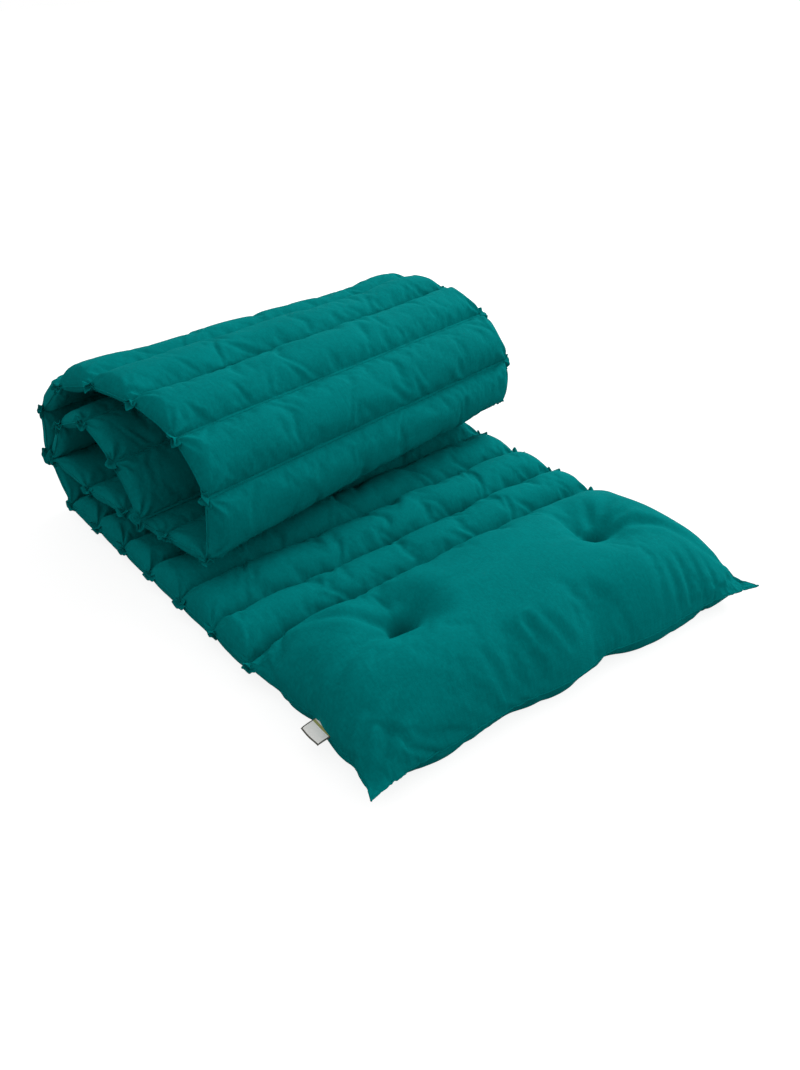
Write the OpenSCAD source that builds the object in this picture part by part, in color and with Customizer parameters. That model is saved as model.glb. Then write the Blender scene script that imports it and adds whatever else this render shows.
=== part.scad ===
// Roll-out futon mattress with a built-in pillow, half rolled up.
// The strip is sewn across into stuffed channels, which fold against each other at their seams.
// Origin: middle of the underside of the channel next to the pillow. X runs along the seams,
// Y runs from the pillow towards the roll, and Z is up.

/* [Strip] */
// Width between the two side seams
mattress_w = 600; // [450:10:800]
// Distance between two cross seams
channel_pitch = 79; // [76:1:100]
// Height of the seams above the floor
seam_h = 26; // [24:1:32]
// Thickness of the cotton cover
cover_t = 1; // [0.6:0.1:1.6]
// Length over which a channel rounds off at its ends
end_round = 38; // [25:1:60]

/* [Stuffing] */
// Rise of an open channel above its seams
open_rise = 32; // [20:1:40]
// Rise of a channel that the roll lies on
loaded_rise = 25; // [18:1:27]
// Bulge on the outside of the roll
outer_bulge = 26; // [16:1:27]
// Bulge of the channels that lie on the strip
resting_bulge = 19; // [12:1:20]
// Bulge of the innermost channels, squeezed by the rest
coil_bulge = 16; // [10:1:17]
// Bulge on the inside of the roll
inner_bulge = 9; // [5:1:10]

/* [Pillow] */
// Length of the pillow, seam to front edge
pillow_l = 266; // [220:2:320]
// Rise of the pillow's crown above its seams
pillow_rise = 76; // [50:2:100]
// Angle between the pillow's front edge and its seam
pillow_skew = 3; // [0:0.5:5]
// How far the edges pull in between the corners
edge_pull = 9; // [0:1:15]

/* [Tufts] */
// Distance between the two tufts
tuft_spacing = 304; // [240:2:360]
// Distance of the tufts from the pillow's seam
tuft_from_seam = 120; // [100:1:140]
// Depth of a tuft below the crown
tuft_depth = 48; // [30:1:56]
// Diameter of the tuft's thread
thread_d = 2.4; // [1.6:0.2:4]
// Diameter of the knot at each end of the thread
knot_d = 5; // [4:0.5:7]

/* [Label] */
// Width of the folded label along the seam
label_w = 34; // [20:1:50]
// Length of the label outside the seam
label_l = 18; // [12:1:30]
// Distance of the label from the pillow's seam
label_from_seam = 156; // [80:1:190]

/* [Hidden] */
// Gap between a channel's edge and the middle of its seam
seam_gap = 0.15;
// Gap between a filling and its cover
fill_gap = 0.3;
// Running clearance of the thread, and of a knot over the cloth
thread_gap = 0.2;
knot_gap = 0.4;
// Thickness of the label's woven tape, and the gap inside its fold
tape_t = 0.7;
fold_gap = 0.5;

// Last channel on the floor, and last channel of each later stretch
last_open = 2;
last_floor = 6;
last_wrap = 14;
last_resting = 18;

// Fold at each seam in degrees, from the pillow's seam on
fold_deg = [0, 0, 0, 0, 0, 0, 50, 50, 40, 20, 15, 20, 35, 45, 85, 0, 0, 10, 110, 35, 50, 30, 0];
// Angle in degrees between each seam and the one before it
skew_deg = [0, 0, 0, 0, 1, 1, 0.5, 0, 0, -2, -3, -2.5, -0.5, 0, -2, -1, -1, -1, -1, 1, 1.5, 0.5, 0];

function lerp(a, b, t) = a + (b - a) * t;
function bell(d, r) = exp(-pow(d / r, 2));

// Frames ------------------------------------------------------------------------------------

function shift(v) = [[1, 0, 0, v[0]], [0, 1, 0, v[1]], [0, 0, 1, v[2]], [0, 0, 0, 1]];
function about_x(a) = [[1, 0, 0, 0], [0, cos(a), -sin(a), 0], [0, sin(a), cos(a), 0], [0, 0, 0, 1]];
function about_z(a) = [[cos(a), -sin(a), 0, 0], [sin(a), cos(a), 0, 0], [0, 0, 1, 0], [0, 0, 0, 1]];

// Frame of a seam: X along it, Y along the channel that follows it
function seam_frame(i) = i == 0
    ? shift([0, -channel_pitch / 2, seam_h])
    : seam_frame(i - 1) * shift([0, channel_pitch, 0]) * about_z(skew_deg[i]) * about_x(fold_deg[i]);

// Channels ----------------------------------------------------------------------------------

// Steps across a channel, and the share of the bulge at each of them
across = [-1, -0.8, -0.45, 0, 0.45, 0.8, 1];
puffed = [0, 0.54, 0.87, 1, 0.87, 0.54, 0];
laid = [0, 0.75, 1, 1, 1, 0.75, 0];

// Share of the bulge at a channel's side seam, and at a quarter of its rounded end
seam_share = 0.1;
quarter_share = 0.6;

function below(i) =
    i <= last_floor ? seam_h :
    i <= last_wrap ? outer_bulge :
    i <= last_resting ? resting_bulge : coil_bulge;
function above(i) =
    i <= last_open ? open_rise :
    i <= last_floor ? loaded_rise : inner_bulge;

// Outline of a channel's section at one place along it, inset from its outer surface
function channel_ring(i, x, share, inset) =
    let (
        near = seam_gap + 2.5 * inset,
        far = channel_pitch + x * tan(skew_deg[i]) - near,
        under = i <= last_floor ? laid : puffed,
        low = (below(i) - inset) * share,
        high = (above(i) - inset) * share
    )
    concat(
        [for (k = [0:6]) [x, lerp(near, far, (1 + across[k]) / 2), -low * under[k]]],
        [for (k = [5:-1:1]) [x, lerp(near, far, (1 + across[k]) / 2), high * puffed[k]]]
    );

// Solid through a row of outlines that all have the same number of points
module loft(rings) {
    n = len(rings[0]);
    last = len(rings) - 1;
    sides = [
        for (r = [0:last - 1], k = [0:n - 1])
            let (a = r * n + k, b = r * n + (k + 1) % n)
            each [[a, a + n, b + n], [a, b + n, b]]
    ];
    first_cap = [for (k = [0:n - 1]) k];
    last_cap = [for (k = [n - 1:-1:0]) last * n + k];
    polyhedron([for (ring = rings) each ring], concat(sides, [first_cap, last_cap]));
}

module channel_tube(i, inset) {
    half = mattress_w / 2 - 3 * inset;
    quarter = half - end_round / 4;
    full = half - end_round;
    loft([
        channel_ring(i, -half, seam_share, inset),
        channel_ring(i, -quarter, quarter_share, inset),
        channel_ring(i, -full, 1, inset),
        channel_ring(i, full, 1, inset),
        channel_ring(i, quarter, quarter_share, inset),
        channel_ring(i, half, seam_share, inset)
    ]);
}

module channel_cover(i) {
    color("teal")
    multmatrix(seam_frame(i - 1))
    difference() {
        channel_tube(i, 0);
        channel_tube(i, cover_t);
    }
}

module channel_filling(i) {
    color("ivory")
    multmatrix(seam_frame(i - 1))
    channel_tube(i, cover_t + fill_gap);
}

// Pillow ------------------------------------------------------------------------------------

// Columns and rows of the pillow's cloth: the tufts sit on a crossing of two of them
side_steps = 5;
middle_steps = 10;
back_steps = 4;
front_steps = 5;
columns = 2 * side_steps + middle_steps;
rows = back_steps + front_steps;
// Radius of the hollow around a tuft, above and below
tuft_r = 52;
tuft_under_r = 30;
// How far a tuft lifts the underside
tuft_lift = 13;

function column_x(c, half) =
    c < side_steps ? lerp(-half, -tuft_spacing / 2, c / side_steps) :
    c > side_steps + middle_steps
        ? lerp(tuft_spacing / 2, half, (c - side_steps - middle_steps) / side_steps)
        : lerp(-tuft_spacing / 2, tuft_spacing / 2, (c - side_steps) / middle_steps);
function row_y(r, back, front) =
    r < back_steps ? lerp(back, -tuft_from_seam, r / back_steps)
        : lerp(-tuft_from_seam, front, (r - back_steps) / front_steps);

// Share of the crown at a place across (-1 to 1) and along (0 to 1) the pillow
function crown(u, v) = pow(1 - pow(abs(u), 3), 0.6) * pow(1 - pow(abs(2 * v - 1), 2.4), 0.6);
function tuft_bell(x, y, r) =
    bell(norm([abs(x) - tuft_spacing / 2, y + tuft_from_seam]), r);

// A point of the cloth, on top (side 1) or underneath (side -1), in the pillow's own frame
function pillow_point(c, r, side, inset) =
    let (
        half = mattress_w / 2 - 3 * inset,
        x0 = column_x(c, half),
        u = x0 / half,
        back = x0 * tan(pillow_skew) - seam_gap - 2.5 * inset,
        front = -pillow_l + 2.5 * inset + edge_pull * (1 - pow(u, 2)),
        y = row_y(r, back, front),
        v = (back - y) / (back - front),
        x = x0 - sign(x0) * edge_pull * pow(u, 4) * (1 - pow(2 * v - 1, 2)),
        share = crown(u, v),
        up = (pillow_rise - inset) * share - tuft_depth * tuft_bell(x0, y, tuft_r) * min(1, 2 * share),
        down = (seam_h - inset) * min(1, 2.5 * share) - tuft_lift * tuft_bell(x0, y, tuft_under_r)
    )
    [x, y, side > 0 ? up : -down];

function is_edge(c, r) = c == 0 || c == columns || r == 0 || r == rows;
function top_index(c, r) = r * (columns + 1) + c;
function under_index(c, r) = is_edge(c, r)
    ? top_index(c, r)
    : (rows + 1) * (columns + 1) + (r - 1) * (columns - 1) + c - 1;

// A cell of the cloth is cut in two along the diagonal that points at the nearest corner
cell_steps = [[0, 0], [1, 0], [1, 1], [0, 1]];
function leans(cell) = (cell[0] < columns / 2) == (cell[1] < rows / 2);
function cell_faces(p, leaning) = leaning
    ? [[p[0], p[1], p[2]], [p[0], p[2], p[3]]]
    : [[p[0], p[1], p[3]], [p[1], p[2], p[3]]];

module pillow_body(inset) {
    top = [for (r = [0:rows], c = [0:columns]) pillow_point(c, r, 1, inset)];
    edged = [for (p = [0:len(top) - 1])
        is_edge(p % (columns + 1), floor(p / (columns + 1))) ? [top[p][0], top[p][1], 0] : top[p]];
    under = [for (r = [1:rows - 1], c = [1:columns - 1]) pillow_point(c, r, -1, inset)];
    cells = [for (r = [0:rows - 1], c = [0:columns - 1]) [c, r]];
    top_faces = [for (cell = cells)
        let (corners = [for (step = cell_steps) top_index(cell[0] + step[0], cell[1] + step[1])])
        each cell_faces(corners, leans(cell))];
    under_faces = [for (cell = cells)
        let (corners = [for (step = cell_steps) under_index(cell[0] + step[0], cell[1] + step[1])])
        each [for (face = cell_faces(corners, leans(cell))) [face[0], face[2], face[1]]]];
    polyhedron(concat(edged, under), concat(top_faces, under_faces));
}

// The pillow's own frame: its front edge runs along X
module in_pillow() {
    multmatrix(seam_frame(0) * about_z(-pillow_skew))
    children();
}

// Place of a tuft on the cloth
function tuft_column(side) = side < 0 ? side_steps : side_steps + middle_steps;
function tuft_top(side) = pillow_point(tuft_column(side), back_steps, 1, 0);
function tuft_under(side) = pillow_point(tuft_column(side), back_steps, -1, 0);

// Holes that the two threads pass through
module thread_holes() {
    for (side = [-1, 1])
        translate([tuft_top(side)[0], tuft_top(side)[1], -2 * seam_h])
        rotate(20)
        cylinder(d = thread_d + 2 * thread_gap, h = 2 * seam_h + pillow_rise, $fn = 24);
}

module pillow_cover() {
    color("teal")
    in_pillow()
    difference() {
        pillow_body(0);
        pillow_body(cover_t);
        thread_holes();
    }
}

module pillow_filling() {
    color("ivory")
    in_pillow()
    difference() {
        pillow_body(cover_t + fill_gap);
        thread_holes();
    }
}

// Steepness of the hollow sets how high the knot rides in it
knot_rise = 1.7 * (knot_d / 2 + knot_gap);

module tuft_tie(side) {
    top = tuft_top(side);
    under = tuft_under(side);
    low_z = under[2] - knot_rise;
    high_z = top[2] + knot_rise;
    color("darkslategray")
    in_pillow()
    translate([top[0], top[1], 0]) {
        translate([0, 0, low_z])
        cylinder(d = thread_d, h = high_z - low_z, $fn = 24);
        translate([0, 0, low_z])
        sphere(d = knot_d, $fn = 24);
        translate([0, 0, high_z])
        sphere(d = knot_d, $fn = 24);
    }
}

// Label -------------------------------------------------------------------------------------

// A strip of woven tape folded double, its two ends towards the seam
module label() {
    half_t = tape_t + fold_gap / 2;
    edge_x = -mattress_w / 2 + edge_pull;
    color("ivory")
    in_pillow()
    translate([edge_x - fill_gap, -label_from_seam, 0])
    rotate([90, 0, 0])
    linear_extrude(label_w, center = true)
    difference() {
        union() {
            translate([half_t - label_l, -half_t])
            square([label_l - half_t, 2 * half_t]);
            translate([half_t - label_l, 0])
            circle(r = half_t, $fn = 24);
        }
        union() {
            translate([half_t - label_l, -fold_gap / 2])
            square([label_l, fold_gap]);
            translate([half_t - label_l, 0])
            circle(d = fold_gap, $fn = 24);
        }
    }
}

pillow_cover();
pillow_filling();
tuft_tie(-1);  // tuft_tie_left
tuft_tie(1);  // tuft_tie_right
label();
channel_cover(1);  // channel_01_cover
channel_filling(1);  // channel_01_filling
channel_cover(2);  // channel_02_cover
channel_filling(2);  // channel_02_filling
channel_cover(3);  // channel_03_cover
channel_filling(3);  // channel_03_filling
channel_cover(4);  // channel_04_cover
channel_filling(4);  // channel_04_filling
channel_cover(5);  // channel_05_cover
channel_filling(5);  // channel_05_filling
channel_cover(6);  // channel_06_cover
channel_filling(6);  // channel_06_filling
channel_cover(7);  // channel_07_cover
channel_filling(7);  // channel_07_filling
channel_cover(8);  // channel_08_cover
channel_filling(8);  // channel_08_filling
channel_cover(9);  // channel_09_cover
channel_filling(9);  // channel_09_filling
channel_cover(10);  // channel_10_cover
channel_filling(10);  // channel_10_filling
channel_cover(11);  // channel_11_cover
channel_filling(11);  // channel_11_filling
channel_cover(12);  // channel_12_cover
channel_filling(12);  // channel_12_filling
channel_cover(13);  // channel_13_cover
channel_filling(13);  // channel_13_filling
channel_cover(14);  // channel_14_cover
channel_filling(14);  // channel_14_filling
channel_cover(15);  // channel_15_cover
channel_filling(15);  // channel_15_filling
channel_cover(16);  // channel_16_cover
channel_filling(16);  // channel_16_filling
channel_cover(17);  // channel_17_cover
channel_filling(17);  // channel_17_filling
channel_cover(18);  // channel_18_cover
channel_filling(18);  // channel_18_filling
channel_cover(19);  // channel_19_cover
channel_filling(19);  // channel_19_filling
channel_cover(20);  // channel_20_cover
channel_filling(20);  // channel_20_filling
channel_cover(21);  // channel_21_cover
channel_filling(21);  // channel_21_filling
channel_cover(22);  // channel_22_cover
channel_filling(22);  // channel_22_filling
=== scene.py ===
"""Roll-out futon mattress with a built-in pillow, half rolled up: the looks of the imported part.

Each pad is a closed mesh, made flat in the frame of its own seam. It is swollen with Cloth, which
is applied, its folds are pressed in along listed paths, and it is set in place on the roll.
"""
import math

import bpy
import numpy as np
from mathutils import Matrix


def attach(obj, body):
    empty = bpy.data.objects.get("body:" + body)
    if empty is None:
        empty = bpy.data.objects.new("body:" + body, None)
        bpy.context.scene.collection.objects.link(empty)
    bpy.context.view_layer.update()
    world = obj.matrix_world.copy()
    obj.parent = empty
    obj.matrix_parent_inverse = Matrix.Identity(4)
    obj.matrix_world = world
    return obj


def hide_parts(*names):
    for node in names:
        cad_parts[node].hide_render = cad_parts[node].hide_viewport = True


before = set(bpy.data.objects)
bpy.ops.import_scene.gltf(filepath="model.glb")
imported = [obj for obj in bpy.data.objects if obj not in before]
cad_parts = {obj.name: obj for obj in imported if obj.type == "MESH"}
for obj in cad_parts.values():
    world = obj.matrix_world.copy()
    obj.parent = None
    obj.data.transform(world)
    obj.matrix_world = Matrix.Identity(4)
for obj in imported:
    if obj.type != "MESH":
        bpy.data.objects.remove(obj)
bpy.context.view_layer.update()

# Sizes of the part, in metres and degrees, as in part.scad -----------------------------------
WIDTH = 0.600
PITCH = 0.079
SEAM_H = 0.026
CHANNELS = 22
LAST_OPEN, LAST_FLOOR, LAST_WRAP, LAST_RESTING = 2, 6, 14, 18
LAST_HINGED, LAST_CORE = 13, 19
OPEN_RISE, LOADED_RISE, INNER_BULGE = 0.032, 0.025, 0.009
OUTER_BULGE, RESTING_BULGE, COIL_BULGE = 0.026, 0.019, 0.016
PILLOW_L, PILLOW_RISE, PILLOW_SKEW, EDGE_PULL = 0.266, 0.076, 3.0, 0.009
TUFT_X, TUFT_Y, TUFT_DEPTH = 0.152, 0.120, 0.048
FOLD = [0, 0, 0, 0, 0, 0, 50, 50, 40, 20, 15, 20, 35, 45, 85, 0, 0, 10, 110, 35, 50, 30, 0]
SKEW = [0, 0, 0, 0, 1, 1, 0.5, 0, 0, -2, -3, -2.5, -0.5, 0, -2, -1, -1, -1, -1, 1, 1.5, 0.5, 0]

SEED = 11


# Frames --------------------------------------------------------------------------------------
def shift(x, y, z):
    m = np.eye(4)
    m[:3, 3] = (x, y, z)
    return m


def about_x(deg):
    a = math.radians(deg)
    m = np.eye(4)
    m[1:3, 1:3] = [[math.cos(a), -math.sin(a)], [math.sin(a), math.cos(a)]]
    return m


def about_z(deg):
    a = math.radians(deg)
    m = np.eye(4)
    m[:2, :2] = [[math.cos(a), -math.sin(a)], [math.sin(a), math.cos(a)]]
    return m


def seam_frames():
    """A frame on each cross seam: x along the seam, y across the channel that follows it."""
    rows = [shift(0, -PITCH / 2, SEAM_H)]
    for i in range(1, CHANNELS + 1):
        rows.append(rows[-1] @ shift(0, PITCH, 0) @ about_z(SKEW[i]) @ about_x(FOLD[i]))
    return rows


SEAMS = seam_frames()
IN_PILLOW = SEAMS[0] @ about_z(-PILLOW_SKEW)


def halfway(i):
    """Frame on seam i, turned half way between the two channels that meet there."""
    return SEAMS[i] @ about_x(-FOLD[i] / 2) if i else SEAMS[0]


def placed(points, m):
    return points @ m[:3, :3].T + m[:3, 3]


# Shape functions -----------------------------------------------------------------------------
class Field:
    """A smooth random field over two coordinates: a sum of waves with seeded directions."""

    WAVES = 14

    def __init__(self, seed, size):
        rng = np.random.default_rng(seed)
        angle = rng.uniform(0, 2 * math.pi, self.WAVES)
        k = 2 * math.pi / (size * rng.uniform(0.7, 1.8, self.WAVES))
        self.kx = k * np.cos(angle)
        self.ky = k * np.sin(angle)
        self.phase = rng.uniform(0, 2 * math.pi, self.WAVES)
        self.scale = 1 / math.sqrt(self.WAVES / 2)

    def __call__(self, x, y):
        total = np.zeros(np.broadcast(x, y).shape)
        for kx, ky, phase in zip(self.kx, self.ky, self.phase):
            total = total + np.sin(kx * x + ky * y + phase)
        return total * self.scale


def smooth(t):
    t = np.clip(t, 0, 1)
    return t * t * (3 - 2 * t)


def dome(t, flat, steep):
    """1 at t = 0 and 0 at t = 1; flat widens its top and a lower steep rounds its shoulder."""
    return np.clip(1 - np.abs(t) ** flat, 0, 1) ** steep


def hill(t, power=2):
    return np.exp(-(t ** power))


# Mesh helpers --------------------------------------------------------------------------------
def grid_quads(columns, rows, flip=False):
    """Faces of a grid of points that runs row by row."""
    c, r = np.meshgrid(np.arange(columns - 1), np.arange(rows - 1))
    a = (r * columns + c).ravel()
    quads = np.stack([a, a + 1, a + columns + 1, a + columns], axis=1)
    return quads[:, ::-1] if flip else quads


def closed_pad(top, under):
    """Points and faces of a pad of two grids (rows, columns, 3) that share their border."""
    rows, columns = top.shape[:2]
    inside = np.zeros((rows, columns), bool)
    inside[1:-1, 1:-1] = True
    under_index = np.arange(rows * columns).reshape(rows, columns)
    under_index[inside] = rows * columns + np.arange(inside.sum())
    points = np.concatenate([top.reshape(-1, 3), under[inside]])
    upper = grid_quads(columns, rows)
    lower = under_index.ravel()[upper][:, ::-1]
    return points, np.concatenate([upper, lower])


def new_object(name, points, faces, uv=None):
    mesh = bpy.data.meshes.new(name)
    mesh.from_pydata(points.tolist(), [], [tuple(int(v) for v in face) for face in faces])
    mesh.polygons.foreach_set("use_smooth", [True] * len(mesh.polygons))
    if uv is not None:
        layer = mesh.uv_layers.new(name="cloth")
        corner = np.zeros(len(mesh.loops), dtype=np.int32)
        mesh.loops.foreach_get("vertex_index", corner)
        layer.data.foreach_set("uv", uv[corner].ravel())
    mesh.update()
    obj = bpy.data.objects.new(name, mesh)
    bpy.context.scene.collection.objects.link(obj)
    return obj


def mesh_points(obj):
    data = np.zeros(len(obj.data.vertices) * 3)
    obj.data.vertices.foreach_get("co", data)
    return data.reshape(-1, 3)


def set_points(obj, points):
    obj.data.vertices.foreach_set("co", points.ravel())
    obj.data.update()


def sharpen(obj, border):
    """Keeps the edges between border points crisp under subdivision, as a sewn edge is."""
    ends = np.zeros(len(obj.data.edges) * 2, dtype=np.int32)
    obj.data.edges.foreach_get("vertices", ends)
    both = border[ends.reshape(-1, 2)].all(axis=1).astype(float)
    obj.data.attributes.new("crease_edge", "FLOAT", "EDGE").data.foreach_set("value", both)


def subdivide(obj):
    subdivision = obj.modifiers.new("smooth", "SUBSURF")
    subdivision.levels = subdivision.render_levels = 1


def thicken(obj, name, thickness, offset=-1.0):
    solid = obj.modifiers.new(name, "SOLIDIFY")
    solid.thickness = thickness
    solid.offset = offset


def tube(path, radius, sides=6, squash=1.0):
    """Points and faces of a thin closed tube along a path, for a seam, a welt or a stitch."""
    path = np.asarray(path, float)
    along = np.gradient(path, axis=0)
    along /= np.linalg.norm(along, axis=1)[:, None]
    upright = abs(along[:, 2]).mean() >= 0.8
    out = np.cross(along, np.array([1.0, 0, 0]) if upright else np.array([0, 0, 1.0]))
    out /= np.linalg.norm(out, axis=1)[:, None]
    up = np.cross(out, along)
    turn = np.linspace(0, 2 * math.pi, sides, endpoint=False)
    rings = [path + radius * (np.cos(a) * out + squash * np.sin(a) * up) for a in turn]
    points = np.stack(rings, axis=1).reshape(-1, 3)
    last = (len(path) - 1) * sides
    faces = []
    for k in range(0, last, sides):
        for j in range(sides):
            a, b = k + j, k + (j + 1) % sides
            faces.append((a, b, b + sides, a + sides))
    tip = len(points)
    points = np.concatenate([points, path[:1], path[-1:]])
    for j in range(sides):
        after = (j + 1) % sides
        faces.append((j, tip, after))
        faces.append((last + after, tip + 1, last + j))
    return points, faces


def joined(parts):
    """One list of points and one of faces from several parts."""
    points, faces, offset = [], [], 0
    for part_points, part_faces in parts:
        points.append(part_points)
        faces.extend(tuple(int(v) + offset for v in face) for face in part_faces)
        offset += len(part_points)
    return np.concatenate(points), faces


# Cloth ---------------------------------------------------------------------------------------
CLOTH_FRAMES = 14
CLOTH_PRESSURE = 5.0


def inflate(obj, growth, pinned, cap):
    """Swells a closed pad as cloth that grows a little on the spot, so it puckers where held.

    growth is the share by which the cloth grows, pinned holds a weight for each point, and no
    point moves further than cap.
    """
    start = mesh_points(obj)
    group = obj.vertex_groups.new(name="pin")
    for weight in np.unique(pinned[pinned > 0]):
        group.add(np.nonzero(pinned == weight)[0].tolist(), float(weight), "REPLACE")
    cloth = obj.modifiers.new("cloth", "CLOTH")
    settings = cloth.settings
    settings.quality = 5
    settings.mass = 0.05
    settings.tension_stiffness = settings.compression_stiffness = 12
    settings.shear_stiffness = 6
    settings.bending_stiffness = 0.3
    settings.tension_damping = settings.compression_damping = 8
    settings.air_damping = 2
    settings.use_pressure = True
    settings.uniform_pressure_force = CLOTH_PRESSURE
    settings.effector_weights.gravity = 0
    settings.vertex_group_mass = "pin"
    settings.shrink_min = -growth
    cloth.point_cache.frame_start = 1
    cloth.point_cache.frame_end = CLOTH_FRAMES
    scene = bpy.context.scene
    for number in range(1, CLOTH_FRAMES + 1):
        scene.frame_set(number)
    move = mesh_points(obj.evaluated_get(bpy.context.evaluated_depsgraph_get())) - start
    obj.modifiers.remove(cloth)
    obj.vertex_groups.clear()
    scene.frame_set(1)
    far = np.linalg.norm(move, axis=1)
    limit = np.broadcast_to(cap, far.shape)
    kept = limit * np.tanh(far / np.maximum(limit, 1e-9)) / np.maximum(far, 1e-9)
    set_points(obj, start + move * kept[:, None])


# Materials -----------------------------------------------------------------------------------
def srgb(r, g, b):
    def one(v):
        v = v / 255
        return v / 12.92 if v <= 0.04045 else ((v + 0.055) / 1.055) ** 2.4
    return (one(r), one(g), one(b), 1)


class Nodes:
    """Short hand for building a node tree."""

    def __init__(self, tree):
        self.tree = tree

    def add(self, kind, **values):
        node = self.tree.nodes.new(kind)
        for key, value in values.items():
            setattr(node, key, value)
        return node

    def link(self, a, b):
        self.tree.links.new(a, b)

    def value(self, source, socket):
        if isinstance(source, (int, float, tuple)):
            socket.default_value = source
        else:
            self.link(source, socket)

    def math(self, kind, *sources):
        node = self.add("ShaderNodeMath", operation=kind)
        for source, socket in zip(sources, node.inputs):
            self.value(source, socket)
        return node.outputs[0]

    def noise(self, vector, scale, detail=2.0, rough=0.5):
        node = self.add("ShaderNodeTexNoise")
        node.inputs["Scale"].default_value = scale
        node.inputs["Detail"].default_value = detail
        node.inputs["Roughness"].default_value = rough
        self.link(vector, node.inputs["Vector"])
        return node.outputs["Fac"]

    def wave(self, vector, scale, direction, distortion=0.6):
        node = self.add("ShaderNodeTexWave", wave_type="BANDS", bands_direction=direction)
        node.inputs["Scale"].default_value = scale
        node.inputs["Distortion"].default_value = distortion
        node.inputs["Detail"].default_value = 1.5
        node.inputs["Detail Scale"].default_value = 1.2
        self.link(vector, node.inputs["Vector"])
        return node.outputs["Fac"]

    def mix(self, factor, a, b):
        node = self.add("ShaderNodeMix", data_type="RGBA")
        self.value(factor, node.inputs["Factor"])
        self.value(a, node.inputs["A"])
        self.value(b, node.inputs["B"])
        return node.outputs["Result"]

    def ramp(self, source, low, high):
        node = self.add("ShaderNodeMapRange")
        node.inputs["From Min"].default_value = low
        node.inputs["From Max"].default_value = high
        self.link(source, node.inputs["Value"])
        return node.outputs["Result"]

    def tint(self, base, source, low, high, share, colour):
        """Blends up to a share of a colour over the base, where the source is high."""
        return self.mix(self.math("MULTIPLY", self.ramp(source, low, high), share), base, colour)

    def bump(self, height, strength, distance, below=None):
        node = self.add("ShaderNodeBump")
        node.inputs["Strength"].default_value = strength
        node.inputs["Distance"].default_value = distance
        self.link(height, node.inputs["Height"])
        if below is not None:
            self.link(below, node.inputs["Normal"])
        return node.outputs["Normal"]

    def sees_backdrop(self):
        """1 for camera, glossy and transmission rays, 0 for the rays that light the object."""
        ray = self.add("ShaderNodeLightPath").outputs
        bounced = self.math("MAXIMUM", ray["Is Glossy Ray"], ray["Is Transmission Ray"])
        return self.math("MAXIMUM", ray["Is Camera Ray"], bounced)


def new_material(name):
    material = bpy.data.materials.new(name)
    material.use_nodes = True
    return material, Nodes(material.node_tree), material.node_tree.nodes["Principled BSDF"].inputs


def cotton():
    """Fine plain-weave cotton: threads two ways, slubs, soft mottling and a weak teal sheen."""
    material, n, shader = new_material("cotton_teal")
    uv = n.add("ShaderNodeUVMap", uv_map="cloth").outputs["UV"]
    obj = n.add("ShaderNodeTexCoord").outputs["Object"]
    thread_scale = 900 / math.pi
    weave = n.math("MULTIPLY", n.wave(uv, thread_scale, "X"), n.wave(uv, thread_scale, "Y"))
    stretched = n.add("ShaderNodeMapping")
    stretched.inputs["Scale"].default_value = (1.0, 0.12, 1.0)
    n.link(uv, stretched.inputs["Vector"])
    slub = n.noise(uv, 240.0, 3.0, 0.65)
    streak = n.noise(stretched.outputs["Vector"], 520.0, 2.0, 0.6)
    cloud = n.noise(obj, 9.0, 3.0, 0.55)
    patch = n.noise(obj, 38.0, 3.0, 0.6)
    base = n.mix(n.ramp(cloud, 0.3, 0.7), srgb(0, 114, 114), srgb(0, 123, 123))
    base = n.tint(base, patch, 0.35, 0.75, 0.35, srgb(0, 104, 104))
    base = n.tint(base, slub, 0.42, 0.75, 0.36, srgb(0, 142, 142))
    base = n.tint(base, streak, 0.45, 0.8, 0.30, srgb(0, 92, 92))
    base = n.tint(base, weave, 0.7, 0.0, 0.16, srgb(0, 86, 86))
    n.link(base, shader["Base Color"])
    shader["Roughness"].default_value = 0.88
    shader["Specular IOR Level"].default_value = 0.01
    shader["Sheen Weight"].default_value = 0.10
    shader["Sheen Roughness"].default_value = 0.45
    shader["Sheen Tint"].default_value = srgb(0, 190, 189)
    rumple = n.bump(n.noise(obj, 55.0, 3.0, 0.55), 0.22, 0.0035)
    fuzz = n.bump(n.noise(obj, 420.0, 2.0, 0.6), 0.35, 0.0007, rumple)
    n.link(n.bump(weave, 0.35, 0.0004, fuzz), shader["Normal"])
    return material


def sewing_thread():
    """Twisted sewing thread."""
    material, n, shader = new_material("thread_teal")
    obj = n.add("ShaderNodeTexCoord").outputs["Object"]
    twist = n.wave(obj, 500.0, "DIAGONAL", 1.0)
    n.link(n.mix(twist, srgb(0, 70, 70), srgb(2, 114, 113)), shader["Base Color"])
    shader["Roughness"].default_value = 0.75
    shader["Specular IOR Level"].default_value = 0.05
    n.link(n.bump(twist, 0.3, 0.0003), shader["Normal"])
    return material


def woven_tape(name, dim, bright):
    """Woven satin tape with close ribs, which shade from bright to dim."""
    material, n, shader = new_material(name)
    obj = n.add("ShaderNodeTexCoord").outputs["Object"]
    ribs = n.wave(obj, 700.0, "Y", 0.3)
    fine = n.noise(obj, 900.0, 2.0)
    base = n.mix(n.math("MULTIPLY", ribs, 0.3), bright, dim)
    base = n.mix(n.math("MULTIPLY", fine, 0.1), base, srgb(180, 176, 160))
    n.link(base, shader["Base Color"])
    shader["Roughness"].default_value = 0.6
    n.link(n.bump(ribs, 0.3, 0.0003), shader["Normal"])
    return material


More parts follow.
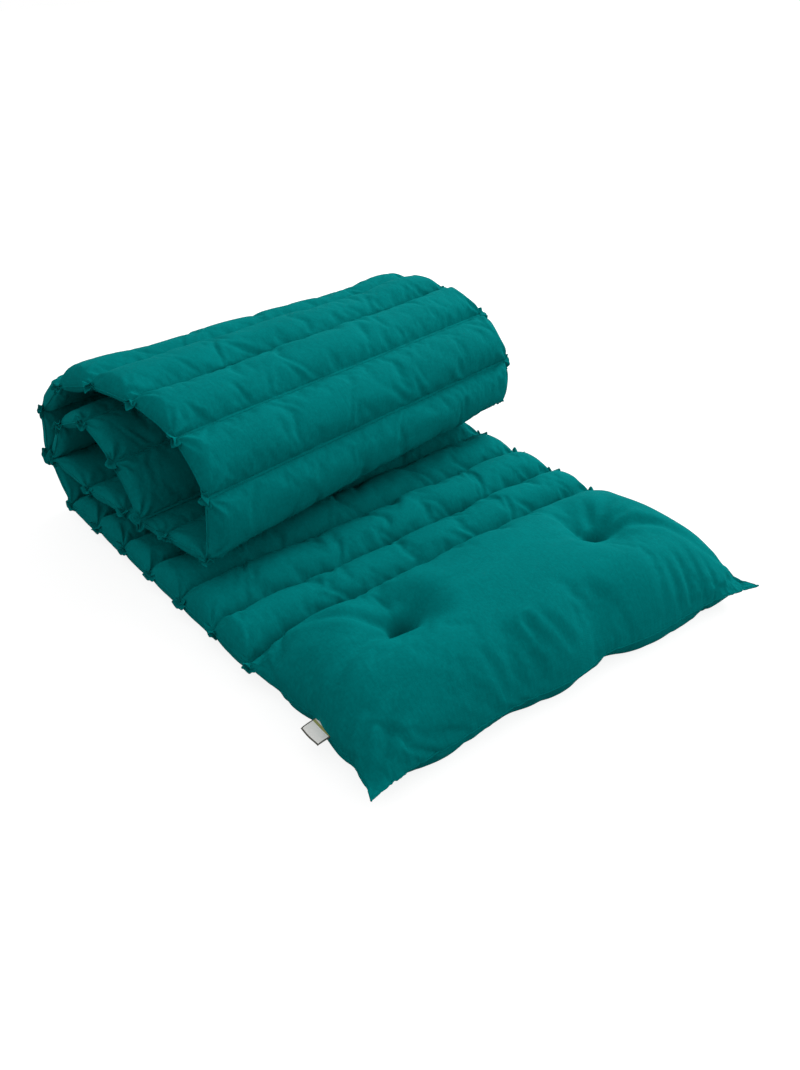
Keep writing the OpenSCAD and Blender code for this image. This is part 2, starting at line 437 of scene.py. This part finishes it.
COTTON = cotton()
THREAD_TEAL = sewing_thread()
TAPE_MATERIALS = [
    woven_tape("label_tape", srgb(244, 242, 236), srgb(255, 255, 252)),
    woven_tape("label_stripe", srgb(120, 124, 60), srgb(168, 170, 96)),
    woven_tape("label_border", srgb(36, 36, 32), srgb(70, 70, 62)),
]
STRIPE, BORDER = 1, 2    # places in TAPE_MATERIALS, whose first is the plain tape


# Folds: the path in the piece's own plane, the depth at its start and end, and its half width --
CHANNEL_FOLDS = {
    1: [([(0.118, 0.076), (0.108, 0.056)], 0.004, 0.001, 0.005)],
    2: [([(0.038, 0.077), (0.029, 0.052)], 0.007, 0.001, 0.005),
        ([(0.150, 0.078), (0.138, 0.060)], 0.004, 0.001, 0.005)],
    3: [([(0.004, 0.078), (-0.008, 0.050)], 0.008, 0.001, 0.006),
        ([(0.198, 0.064), (0.213, 0.046), (0.234, 0.036)], 0.004, 0.001, 0.005),
        ([(0.098, 0.068), (0.121, 0.059), (0.142, 0.068)], 0.004, 0.002, 0.004)],
    4: [([(0.214, 0.078), (0.222, 0.054)], 0.006, 0.001, 0.005)],
}
TUFT_FOLDS = [
    ([(-0.150, -0.120), (-0.118, -0.113), (-0.070, -0.110), (-0.015, -0.104)], 0.013, 0, 0.010),
    ([(-0.153, -0.119), (-0.180, -0.094), (-0.212, -0.062), (-0.238, -0.030)], 0.011, 0.001, 0.009),
    ([(-0.156, -0.122), (-0.200, -0.127), (-0.245, -0.140), (-0.290, -0.168)], 0.008, 0.003, 0.008),
    ([(-0.152, -0.116), (-0.150, -0.080), (-0.148, -0.035)], 0.013, 0.004, 0.026),
    ([(-0.150, -0.124), (-0.140, -0.142)], 0.004, 0, 0.006),
    ([(0.150, -0.119), (0.139, -0.086), (0.130, -0.045)], 0.011, 0.001, 0.009),
    ([(0.155, -0.119), (0.190, -0.114), (0.245, -0.109)], 0.010, 0.001, 0.007),
    ([(0.155, -0.117), (0.188, -0.098), (0.228, -0.070)], 0.009, 0.001, 0.006),
    ([(0.154, -0.116), (0.176, -0.086), (0.195, -0.050)], 0.007, 0, 0.006),
    ([(0.148, -0.121), (0.110, -0.120), (0.060, -0.118)], 0.008, 0, 0.009),
    ([(0.152, -0.116), (0.156, -0.080), (0.160, -0.035)], 0.011, 0.003, 0.024),
    ([(0.158, -0.124), (0.200, -0.136), (0.232, -0.165), (0.248, -0.205)], 0.007, 0.002, 0.008),
]
EDGE_FOLDS = [
    ([(0.142, -0.256), (0.154, -0.218)], 0.005, 0.001, 0.005),
    ([(0.168, -0.256), (0.174, -0.212)], 0.007, 0.001, 0.005),
    ([(0.190, -0.256), (0.198, -0.208)], 0.008, 0.001, 0.0045),
    ([(0.212, -0.258), (0.220, -0.212)], 0.006, 0.001, 0.0045),
    ([(0.236, -0.260), (0.240, -0.224)], 0.005, 0.001, 0.004),
    ([(-0.045, -0.212), (-0.041, -0.228), (-0.027, -0.242)], 0.009, 0.001, 0.006),
    ([(-0.006, -0.240), (-0.030, -0.205)], 0.006, 0.001, 0.006),
    ([(-0.052, -0.243), (-0.072, -0.206)], 0.007, 0.001, 0.006),
    ([(-0.078, -0.248), (-0.096, -0.216)], 0.005, 0.001, 0.005),
    ([(-0.108, -0.246), (-0.120, -0.208)], 0.005, 0.001, 0.006),
    ([(-0.150, -0.252), (-0.150, -0.220)], 0.004, 0.001, 0.006),
    ([(0.085, -0.250), (0.078, -0.222)], 0.004, 0.001, 0.005),
    ([(-0.268, -0.244), (-0.250, -0.228), (-0.222, -0.226)], 0.009, 0.001, 0.008),
    ([(-0.284, -0.224), (-0.252, -0.204)], 0.005, 0.001, 0.006),
    ([(0.284, -0.228), (0.256, -0.216)], 0.004, 0.001, 0.005),
    ([(-0.290, -0.060), (-0.258, -0.050)], 0.005, 0.001, 0.006),
    ([(-0.290, -0.100), (-0.262, -0.092)], 0.003, 0.001, 0.005),
    ([(-0.290, -0.205), (-0.262, -0.190)], 0.004, 0.001, 0.005),
]
LIP_HEIGHT, LIP_PLACE = 0.32, 1.9


def smooth_path(path, count=24):
    """Catmull-Rom curve through the points of a path."""
    p = np.array([path[0]] + list(path) + [path[-1]], float)
    t = np.linspace(0, 1, count, endpoint=False)[:, None]
    rows = []
    for a, b, c, d in zip(p, p[1:], p[2:], p[3:]):
        rows.append(0.5 * (2 * b + (c - a) * t + (2 * a - 5 * b + 4 * c - d) * t ** 2
                           + (3 * b - a - 3 * c + d) * t ** 3))
    rows.append(p[-1][None])
    return np.concatenate(rows)


def fold_lift(x, y, folds):
    """Height change from a set of folds: a sharp valley with a soft lip on each side."""
    lift = np.zeros(x.shape)
    for path, deep, end, width in folds:
        line = smooth_path(path)
        share = np.linspace(0, 1, len(line))
        gap = np.hypot(x[..., None] - line[:, 0], y[..., None] - line[:, 1])
        near = gap.argmin(axis=-1)
        d = gap.min(axis=-1)
        depth = deep + (end - deep) * share[near]
        lip = LIP_HEIGHT * hill((d - LIP_PLACE * width) / width)
        lift += depth * (lip - hill(d / width, 1.5))
    return lift


# Channels ------------------------------------------------------------------------------------
ALONG, ACROSS = 145, 21            # points along and across a channel
END_CROWDING = 1.3                 # above 1, the points crowd towards the two ends
SEAM_BAND = 0.0009                 # left free for the sewn band beside each seam
END_ROUND, TAPER_END = 0.019, 0.046
END_HOLLOW = 0.0025                # how far the side seam pulls in between two cross seams
TOP_FILL, LOW_FILL = 0.92, 0.78    # the pads start smaller, because they swell
GROWTH_FLOOR, GROWTH_ROLL = 0.045, 0.030
TOP_CAP_FLOOR, TOP_CAP_ROLL, LOW_CAP = 0.007, 0.0025, 0.006
SIDE_HOLD = 0.15                   # pin weight of the side seams
DENTS_FLOOR, DENTS_ROLL = 14, 9    # on each side of a channel
DENT_SPAN, DENT_START = 0.27, 0.004
DENT_LEAN, DENT_BOW = (0.35, 1.2), 6
DENT_LENGTH, DENT_WIDTH, DENT_DEPTH = (0.016, 0.038), (0.0028, 0.0055), (0.0008, 0.0024)
DENT_ROOM, FOLD_ROOM = 0.006, 0.012    # pad height from which dents and folds have full depth
KNOT_RIPPLE, KNOT_REACH, KNOT_SPREAD = 0.0030, 0.014, 0.012


def on_floor(i):
    return i <= LAST_FLOOR


def below(i):
    if on_floor(i):
        return SEAM_H
    if i <= LAST_WRAP:
        return OUTER_BULGE
    return RESTING_BULGE if i <= LAST_RESTING else COIL_BULGE


def above(i):
    if i <= LAST_OPEN:
        return OPEN_RISE
    return LOADED_RISE if on_floor(i) else INNER_BULGE


def channel_grids(i):
    """Top and under grids of one channel in its own frame."""
    half = WIDTH / 2
    s = np.linspace(-1, 1, ALONG)
    x = half * np.sign(s) * (1 - (1 - np.abs(s)) ** END_CROWDING)
    w = -np.cos(np.linspace(0, math.pi, ACROSS))
    xx, ww = np.meshgrid(x, w)
    v = SEAM_BAND / PITCH + (1 - 2 * SEAM_BAND / PITCH) * (1 + ww) / 2
    turn = math.radians(SKEW[i])
    pull = END_HOLLOW * (1 - ww ** 2) * np.abs(xx / half) ** 12 * np.sign(xx)
    px = xx * (1 - v) + xx * math.cos(turn) * v - pull
    py = v * (PITCH + xx * math.sin(turn))
    to_end = ((np.abs(xx) - (half - END_ROUND)) / END_ROUND).clip(0, 1)
    round_off = dome(to_end, 2.5, 0.5)
    if on_floor(i):
        to_taper = ((xx - (half - TAPER_END)) / TAPER_END).clip(0, 1)
        round_off = round_off * dome(to_taper, 1.8, 0.55)
    flat = 2.3 if on_floor(i) else 2.7
    top_share = dome(ww, flat, 0.58) * round_off
    low_share = dome(ww, flat, 0.4 if on_floor(i) else 0.50) * round_off
    swell = Field(SEED + i, 0.16)
    low_fill, low_swell = (1, 0) if on_floor(i) else (LOW_FILL, 0.07)
    top_h = above(i) * (1 + 0.08 * swell(xx, ww * 0.02))
    low_h = below(i) * (1 + low_swell * swell(xx + 3, ww * 0.02))
    top = np.stack([px, py, TOP_FILL * top_h * top_share], axis=2)
    under = np.stack([px, py, -low_fill * low_h * low_share], axis=2)
    return top, under


def dents(points, i, side):
    """Short folds that run in from the seams, and puckers that run in from the four knots."""
    rng = np.random.default_rng(SEED * 100 + i * 2 + (side > 0))
    x, y = points[..., 0], points[..., 1]
    lift = np.zeros(x.shape)
    for _ in range(DENTS_FLOOR if on_floor(i) else DENTS_ROLL):
        cx = rng.uniform(-DENT_SPAN, DENT_SPAN)
        at_far = rng.random() < 0.5
        cy = PITCH - DENT_START if at_far else DENT_START
        lean = rng.uniform(*DENT_LEAN) * rng.choice([-1, 1])
        run = np.array([math.sin(lean), -math.cos(lean) if at_far else math.cos(lean)])
        length = rng.uniform(*DENT_LENGTH)
        along = (x - cx) * run[0] + (y - cy) * run[1]
        bow = DENT_BOW * (along - length / 2) ** 2
        off = (x - cx) * run[1] - (y - cy) * run[0] + bow
        width = rng.uniform(*DENT_WIDTH)
        window = hill((along - length * 0.45) / (length * 0.5))
        ridge = hill(off / width) - 0.9 * hill((off - 1.5 * width) / width)
        lift += rng.uniform(*DENT_DEPTH) * window * ridge
    for cx in (-WIDTH / 2, WIDTH / 2):
        for cy in (0, PITCH):
            dx, dy = (x - cx) * -np.sign(cx), (y - cy) * (1 if cy == 0 else -1)
            angle = np.arctan2(dy, np.maximum(dx, 1e-6))
            wave = np.sin(angle * rng.uniform(7, 10) + rng.uniform(0, 6))
            lift += KNOT_RIPPLE * wave * hill((np.hypot(dx, dy) - KNOT_REACH) / KNOT_SPREAD)
    return lift


side_seams = {}


def build_channel(i, body):
    """One channel's pad, with its dents, its swell, its folds and a flat underside on the floor."""
    top, under = channel_grids(i)
    rows, columns = top.shape[:2]
    from_seam = np.minimum(np.arange(rows), np.arange(rows)[::-1]) / 3.0
    fade = np.clip(from_seam, 0, 1)[:, None] * np.ones(columns)
    room = np.clip(np.abs(top[..., 2]) / DENT_ROOM, 0, 1)
    top[..., 2] += dents(top, i, 1) * fade * room * (1 if on_floor(i) else 0.5)
    if not on_floor(i):
        room = np.clip(np.abs(under[..., 2]) / DENT_ROOM, 0, 1)
        under[..., 2] -= dents(under, i, -1) * fade * room
    points, faces = closed_pad(top, under)
    uv = points[:, :2] + np.array([0, i * PITCH])
    obj = new_object(f"channel_{i:02d}_cloth", points, faces, uv)
    border = np.zeros(len(points), bool)
    index = np.arange(rows * columns).reshape(rows, columns)
    for line in (index[0], index[-1], index[:, 0], index[:, -1]):
        border[line] = True
    sharpen(obj, border)
    swell_channel(obj, i, index)
    set_points(obj, placed(mesh_points(obj), SEAMS[i - 1]))
    side_seams[i] = [mesh_points(obj)[index[:, c]] for c in (0, -1)]
    obj.data.materials.append(COTTON)
    subdivide(obj)
    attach(obj, body)
    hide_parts(f"channel_{i:02d}_cover", f"channel_{i:02d}_filling")


def swell_channel(obj, i, index):
    """Inflates a channel held along its two cross seams, then presses its folds in."""
    points = mesh_points(obj)
    pinned = np.zeros(len(points))
    pinned[index[:, [0, -1]]] = SIDE_HOLD
    pinned[index[[0, -1]]] = 1.0
    top_cap = TOP_CAP_FLOOR if on_floor(i) else TOP_CAP_ROLL
    cap = np.where(points[:, 2] > 0, top_cap, LOW_CAP)
    inflate(obj, GROWTH_FLOOR if on_floor(i) else GROWTH_ROLL, pinned, cap)
    if on_floor(i):
        points = mesh_points(obj)
        upper = points[:, 2] > 0
        x, y, z = points[upper].T
        folds = fold_lift(x, y, CHANNEL_FOLDS.get(i, []))
        points[upper, 2] += np.clip(z / FOLD_ROOM, 0, 1) * folds
        points[:, 2] = np.maximum(points[:, 2], -SEAM_H)
        set_points(obj, points)


# Pillow --------------------------------------------------------------------------------------
PILLOW_COLUMNS, PILLOW_ROWS = 161, 79
PILLOW_CROWDING = 0.88             # towards 1, the columns crowd towards the two sides
PINCH_RIGHT, PINCH_LEFT = 0.092, 0.056
TIP = 0.004                        # how far the two front corners stand out
EDGE_WAVE, EDGE_SCALLOP, MOTTLE = 0.0016, 0.0010, 0.0018
FRONT_PULL, SIDE_PULL = 1.15, 1.30
PILLOW_FILL = 0.95
BELL_SHARE, BELL_SPREAD, BELL_BACK = 0.38, 0.031, 0.027
SLIT_X, SLIT_Y = 0.0095, 0.0052
UNDER_DENT, UNDER_SPREAD = 0.013, 0.030
PILLOW_GROWTH, PILLOW_CAP, PILLOW_EDGE_CAP = 0.037, 0.012, 0.0025
EDGE_HOLD = 0.3                    # pin weight of the side and front edges
TUFT_RADIUS = 0.004
PILLOW_FOLD_ROOM = 0.02


def crown(u, v):
    """Share of the full height: boxy, steep at the back and sides, with pinched front corners."""
    share = dome(u, 5, 0.50) * dome(2 * v - 1, 3.0, 0.56)
    corner = np.hypot((1 - np.abs(u)) * WIDTH / 2, (1 - v) * PILLOW_L)
    return share * smooth(corner / np.where(u > 0, PINCH_RIGHT, PINCH_LEFT)) ** 0.55


def tuft_polar(x, y, side):
    dx, dy = x - side * TUFT_X, y + TUFT_Y
    return np.hypot(dx, dy), np.arctan2(dy, dx)


def pillow_grids():
    """Top and under grids of the pillow, whose rows run from the seam to the front edge."""
    half = WIDTH / 2
    turn = np.linspace(-math.pi / 2, math.pi / 2, PILLOW_COLUMNS) * PILLOW_CROWDING
    u = np.sin(turn) / math.sin(math.pi / 2 * PILLOW_CROWDING)
    v = (1 - np.cos(np.linspace(0, math.pi, PILLOW_ROWS))) / 2
    uu, vv = np.meshgrid(u, v)
    x0 = uu * half
    back = x0 * math.tan(math.radians(PILLOW_SKEW))
    tip = TIP * np.abs(uu) ** 14
    wavy = Field(SEED + 5, 0.10)(x0, vv * 0) * (1 - uu ** 2)
    front = -PILLOW_L + FRONT_PULL * EDGE_PULL * (1 - np.abs(uu) ** 5) + EDGE_WAVE * wavy - tip
    y = back + (front - back) * vv
    scallop = Field(SEED + 6, 0.07)(vv * 0.2, uu * 0 + np.sign(uu)) * (1 - (2 * vv - 1) ** 2)
    pulled = SIDE_PULL * EDGE_PULL * (1 - np.abs(2 * vv - 1) ** 3.2) + EDGE_SCALLOP * scallop
    x = x0 - np.sign(x0) * np.abs(uu) ** 5 * (pulled - tip * vv ** 14)
    share = crown(uu, vv)
    rise = PILLOW_FILL * PILLOW_RISE * share
    low = SEAM_H * np.minimum(1, 2.5 * share)
    for side in (-1, 1):
        reach, angle = tuft_polar(x, y, side)
        spread = BELL_SPREAD + BELL_BACK * np.maximum(np.sin(angle), 0)
        slit = np.hypot(reach * np.cos(angle) / SLIT_X, reach * np.sin(angle) / SLIT_Y)
        bell = BELL_SHARE * hill(reach / spread, 1.6) + (1 - BELL_SHARE) * hill(slit, 1.05)
        rise = rise - TUFT_DEPTH * bell * np.minimum(1, 2 * share)
        low = low - UNDER_DENT * hill(reach / UNDER_SPREAD)
    mottle = Field(SEED + 77, 0.11)
    rise = rise + MOTTLE * mottle(x, y) * np.minimum(1, share * 2)
    top = np.stack([x, y, rise], axis=2)
    under = np.stack([x, y, -low], axis=2)
    return top, under


def build_pillow():
    """The pillow's pad, held at its seam, its corners and its tufts, and flat on the floor."""
    top, under = pillow_grids()
    top[0, :, 2] = top[-1, :, 2] = top[:, 0, 2] = top[:, -1, 2] = 0
    points, faces = closed_pad(top, under)
    # The rows run towards -y, so the faces are turned over
    obj = new_object("pillow_cloth", points, faces[:, ::-1], points[:, :2].copy())
    count = PILLOW_ROWS * PILLOW_COLUMNS
    index = np.arange(count).reshape(PILLOW_ROWS, PILLOW_COLUMNS)
    pinned = np.zeros(len(points))
    pinned[index[:, [0, -1]]] = pinned[index[-1]] = EDGE_HOLD
    pinned[index[-1, [0, -1]]] = pinned[index[0]] = 1.0
    for side in (-1, 1):
        reach, _ = tuft_polar(points[:, 0], points[:, 1], side)
        pinned[reach < TUFT_RADIUS] = 1.0
    upper = np.zeros(len(points), bool)
    upper[index[1:-1, 1:-1]] = True
    border = np.zeros(len(points), bool)
    border[:count] = ~upper[:count]
    sharpen(obj, border)
    inflate(obj, PILLOW_GROWTH, pinned, np.where(border, PILLOW_EDGE_CAP, PILLOW_CAP))
    points = mesh_points(obj)
    x, y, z = points[upper].T
    folds = fold_lift(x, y, TUFT_FOLDS) + fold_lift(x, y, EDGE_FOLDS)
    points[upper, 2] += np.clip(z / PILLOW_FOLD_ROOM, 0, 1) * folds
    points = placed(points, IN_PILLOW)
    points[:, 2] = np.maximum(points[:, 2], 0.0)
    set_points(obj, points)
    rim = np.concatenate([index[:, 0], index[-1, 1:], index[-2::-1, -1]])
    side_seams["pillow"] = [points[rim]]
    obj.data.materials.append(COTTON)
    subdivide(obj)
    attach(obj, "pillow")
    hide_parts("pillow_cover", "pillow_filling")


# Seams, stitches and ruffled ends ------------------------------------------------------------
BAND_HALF, BAND_THICK, BAND_POINTS = 0.0021, 0.0006, 121
CLOTH_THICK = 0.0010
RUFFLE_SPOKES, RUFFLE_RINGS, RUFFLE_INSET = 37, 8, 0.0045
RUFFLE_REACH, RUFFLE_WAVES = (0.0080, 0.0105), (3.4, 5.0)
PLEAT_HEIGHT, FRILL_HEIGHT = 0.0030, 0.0012
STITCH, STITCH_GAP, THREAD = 0.0026, 0.0009, 0.00035
STITCH_END, STITCH_BOW = 0.0004, 0.0002
WELT = 0.0011


def ruffle(rng, side):
    """A small bunch of pleated cloth at one end of a seam: two fans, one over the other."""
    parts = []
    for layer in (-1, 1):
        reach = rng.uniform(*RUFFLE_REACH)
        waves, phase = rng.uniform(*RUFFLE_WAVES), rng.uniform(0, 6.28)
        spokes = np.linspace(-1.5, 1.5, RUFFLE_SPOKES)
        tt, gg = np.meshgrid(spokes, np.linspace(0, 1, RUFFLE_RINGS))
        radius = reach * gg * (0.8 + 0.25 * np.cos(tt) + 0.14 * np.sin(4.3 * tt + phase))
        pleats = PLEAT_HEIGHT * gg ** 0.8 * np.sin(waves * tt + phase)
        ripple = pleats + FRILL_HEIGHT * gg * np.sin(8.5 * tt + 2 * phase)
        x = side * (WIDTH / 2 - RUFFLE_INSET + radius * np.cos(tt))
        y = 1.5 * radius * np.sin(tt)
        z = layer * (0.0008 + 0.30 * radius) + ripple
        block = np.stack([x, y, z], axis=2).reshape(-1, 3)
        parts.append((block, grid_quads(RUFFLE_SPOKES, RUFFLE_RINGS, side > 0)))
    return parts


def build_seam(i, body):
    """The flat sewn band of one cross seam, with the ruffles at its ends."""
    rng = np.random.default_rng(SEED * 7 + i)
    x = np.linspace(-WIDTH / 2 + 0.0004, WIDTH / 2 - 0.0004, BAND_POINTS)
    thick = BAND_THICK + 0.9 * SEAM_BAND * math.sin(math.radians(FOLD[i] / 2))
    path = np.stack([x, 0 * x, 0.0002 * Field(SEED + 40 + i, 0.05)(x, 0 * x)], axis=1)
    band = tube(path, BAND_HALF, 8, thick / BAND_HALF)
    points, faces = joined([band] + ruffle(rng, -1) + ruffle(rng, 1))
    uv = points[:, :2] + np.array([0, i * PITCH])
    obj = new_object(f"seam_{i:02d}", placed(points, halfway(i)), faces, uv)
    obj.data.materials.append(COTTON)
    thicken(obj, "cloth_thickness", CLOTH_THICK, offset=0)
    subdivide(obj)
    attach(obj, body)
    build_stitches(i, body, thick)


def build_stitches(i, body, thick):
    """Lock stitches on both faces of a seam band."""
    reach = np.array([-0.5, -0.25, 0.25, 0.5]) * STITCH
    bow = np.array([-STITCH_END, STITCH_BOW, STITCH_BOW, -STITCH_END])
    parts = []
    for face in (-1, 1):
        lift = face * (thick + bow)
        for centre in np.arange(-WIDTH / 2 + 0.008, WIDTH / 2 - 0.008, STITCH + STITCH_GAP):
            parts.append(tube(np.stack([centre + reach, 0 * reach, lift], axis=1), THREAD, 4))
    points, faces = joined(parts)
    obj = new_object(f"stitches_{i:02d}", placed(points, halfway(i)), faces)
    obj.data.materials.append(THREAD_TEAL)
    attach(obj, body)


def build_side_seams(key, name, body):
    """The turned seam where top and under cloth meet, as a fine welt along the edge."""
    points, faces = joined([tube(path, WELT) for path in side_seams[key]])
    obj = new_object(f"{name}_edge_seam", points, faces, points[:, :2])
    obj.data.materials.append(COTTON)
    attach(obj, body)


# Label ---------------------------------------------------------------------------------------
LABEL_W, LABEL_L, LABEL_FROM_SEAM, TAPE_THICK = 0.034, 0.018, 0.156, 0.0005
LABEL_COLUMNS, LABEL_ROWS, LABEL_TUCK = 25, 15, 0.003
STRIPE_ROWS, BORDER_ROW = (2, 3), 13


def build_label():
    """Folded woven tape caught in the pillow's side seam, bare, with a border and a stripe."""
    left_edge = placed(side_seams["pillow"][0][:PILLOW_ROWS], np.linalg.inv(IN_PILLOW))
    edge_x = np.interp(LABEL_FROM_SEAM, -left_edge[:, 1], left_edge[:, 0])
    across, out = np.meshgrid(
        np.linspace(-0.5, 0.5, LABEL_COLUMNS), np.linspace(0, 1, LABEL_ROWS)
    )
    parts = []
    for layer in (0, 1):
        sag = 0.004 * out ** 1.5 + 0.0012 * np.sin(across * 5 + 1.0) * out
        gap = 0.0011 * layer * np.sqrt(np.clip(1 - out ** 6, 0, 1))
        x = edge_x + LABEL_TUCK - (LABEL_L + LABEL_TUCK) * out
        y = -LABEL_FROM_SEAM + (LABEL_W - 0.0004) * across
        block = np.stack([x, y, 0.0015 - sag + gap], axis=2).reshape(-1, 3)
        parts.append((block, grid_quads(LABEL_COLUMNS, LABEL_ROWS, layer == 0)))
    points, faces = joined(parts)
    obj = new_object("label_tab", placed(points, IN_PILLOW), faces)
    for material in TAPE_MATERIALS:
        obj.data.materials.append(material)
    cells = len(faces) // 2
    for number, polygon in enumerate(obj.data.polygons):
        row, column = divmod(number % cells, LABEL_COLUMNS - 1)
        if column in (0, LABEL_COLUMNS - 2) or row == BORDER_ROW:
            polygon.material_index = BORDER
        elif row in STRIPE_ROWS:
            polygon.material_index = STRIPE
    thicken(obj, "tape_thickness", TAPE_THICK)
    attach(obj, "pillow")
    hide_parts("label")


# Building ------------------------------------------------------------------------------------
def body_of(i):
    if on_floor(i):
        return "strip"
    if i <= LAST_HINGED:
        return f"channel_{i:02d}"
    if i <= LAST_CORE:
        return "roll_core"
    return "end_flap" if i == CHANNELS else f"channel_{i:02d}"


for number in range(1, CHANNELS + 1):
    build_channel(number, body_of(number))
    build_seam(number - 1, body_of(number))
    build_side_seams(number, f"channel_{number:02d}", body_of(number))
build_seam(CHANNELS, body_of(CHANNELS))
build_pillow()
build_side_seams("pillow", "pillow", "pillow")
build_label()

for name in ("tuft_tie_left", "tuft_tie_right"):
    for slot in bpy.data.objects[name].material_slots:
        slot.material = THREAD_TEAL

# Floor and background ------------------------------------------------------------------------
# Both look white to the camera and in reflections, and neither adds that white to the light on
# the object. The floor keeps the object's shadow, which fades into plain white further out.
FLOOR_REACH = 6
FLOOR_GREY = (0.30, 0.30, 0.30, 1)
GLOW_NEAR, GLOW_MORE, GLOW_FROM, GLOW_TO = 0.84, 0.16, 0.7, 1.6
WORLD_LIGHT, WHITE = 0.70, 1.0

corners = [(-1, -1, 0), (1, -1, 0), (1, 1, 0), (-1, 1, 0)]
floor = new_object("floor", FLOOR_REACH * np.array(corners, float), [(0, 1, 2, 3)])
floor_white, white, _ = new_material("floor_white")
distance = white.add("ShaderNodeVectorMath", operation="LENGTH")
white.link(white.add("ShaderNodeTexCoord").outputs["Object"], distance.inputs[0])
outward = white.ramp(distance.outputs["Value"], GLOW_FROM, GLOW_TO)
brightness = white.math("MULTIPLY_ADD", outward, GLOW_MORE, GLOW_NEAR)
plain = white.add("ShaderNodeBsdfDiffuse")
plain.inputs["Color"].default_value = FLOOR_GREY
glow = white.add("ShaderNodeEmission")
white.link(white.math("MULTIPLY", brightness, white.sees_backdrop()), glow.inputs["Strength"])
both = white.add("ShaderNodeAddShader")
white.link(plain.outputs[0], both.inputs[0])
white.link(glow.outputs[0], both.inputs[1])
white.link(both.outputs[0], white.tree.nodes["Material Output"].inputs["Surface"])
floor.data.materials.append(floor_white)

world = bpy.data.worlds.new("studio")
bpy.context.scene.world = world
world.use_nodes = True
sky = Nodes(world.node_tree)
strength = sky.add("ShaderNodeMapRange")
strength.inputs["To Min"].default_value = WORLD_LIGHT
strength.inputs["To Max"].default_value = WHITE
sky.link(sky.sees_backdrop(), strength.inputs["Value"])
background = sky.tree.nodes["Background"].inputs
background["Color"].default_value = (1, 1, 1, 1)
sky.link(strength.outputs["Result"], background["Strength"])


# Lights and camera ---------------------------------------------------------------------------
def aim(obj, target):
    away = np.array(obj.location) - np.array(target)
    azimuth = math.atan2(away[0], -away[1])
    height = math.atan2(away[2], math.hypot(away[0], away[1]))
    obj.rotation_euler = (math.pi / 2 - height, 0, azimuth)


def area_light(name, place, target, size, power):
    data = bpy.data.lights.new(name, "AREA")
    data.shape = "DISK"
    data.size = size
    data.energy = power
    lamp = bpy.data.objects.new(name, data)
    bpy.context.scene.collection.objects.link(lamp)
    lamp.location = place
    aim(lamp, target)


CAMERA_PLACE = (-0.759, -0.871, 0.817)
CAMERA_DOWN, CAMERA_TURN = 33.21, 39.62
CAMERA_LENS, CAMERA_SENSOR = 35.3, 36

area_light("key", (2.1, 0.7, 1.55), (0, 0.1, 0.05), size=1.2, power=44)
area_light("fill", (1.7, -1.0, 1.25), (0, 0.1, 0.1), size=1.6, power=11)

lens = bpy.data.cameras.new("camera")
lens.sensor_fit = "VERTICAL"
lens.sensor_height = CAMERA_SENSOR
lens.lens = CAMERA_LENS
camera = bpy.data.objects.new("camera", lens)
bpy.context.scene.collection.objects.link(camera)
camera.location = CAMERA_PLACE
camera.rotation_euler = (math.radians(90 - CAMERA_DOWN), 0, -math.radians(CAMERA_TURN))
bpy.context.scene.camera = camera
bpy.context.scene.view_settings.view_transform = "Standard"
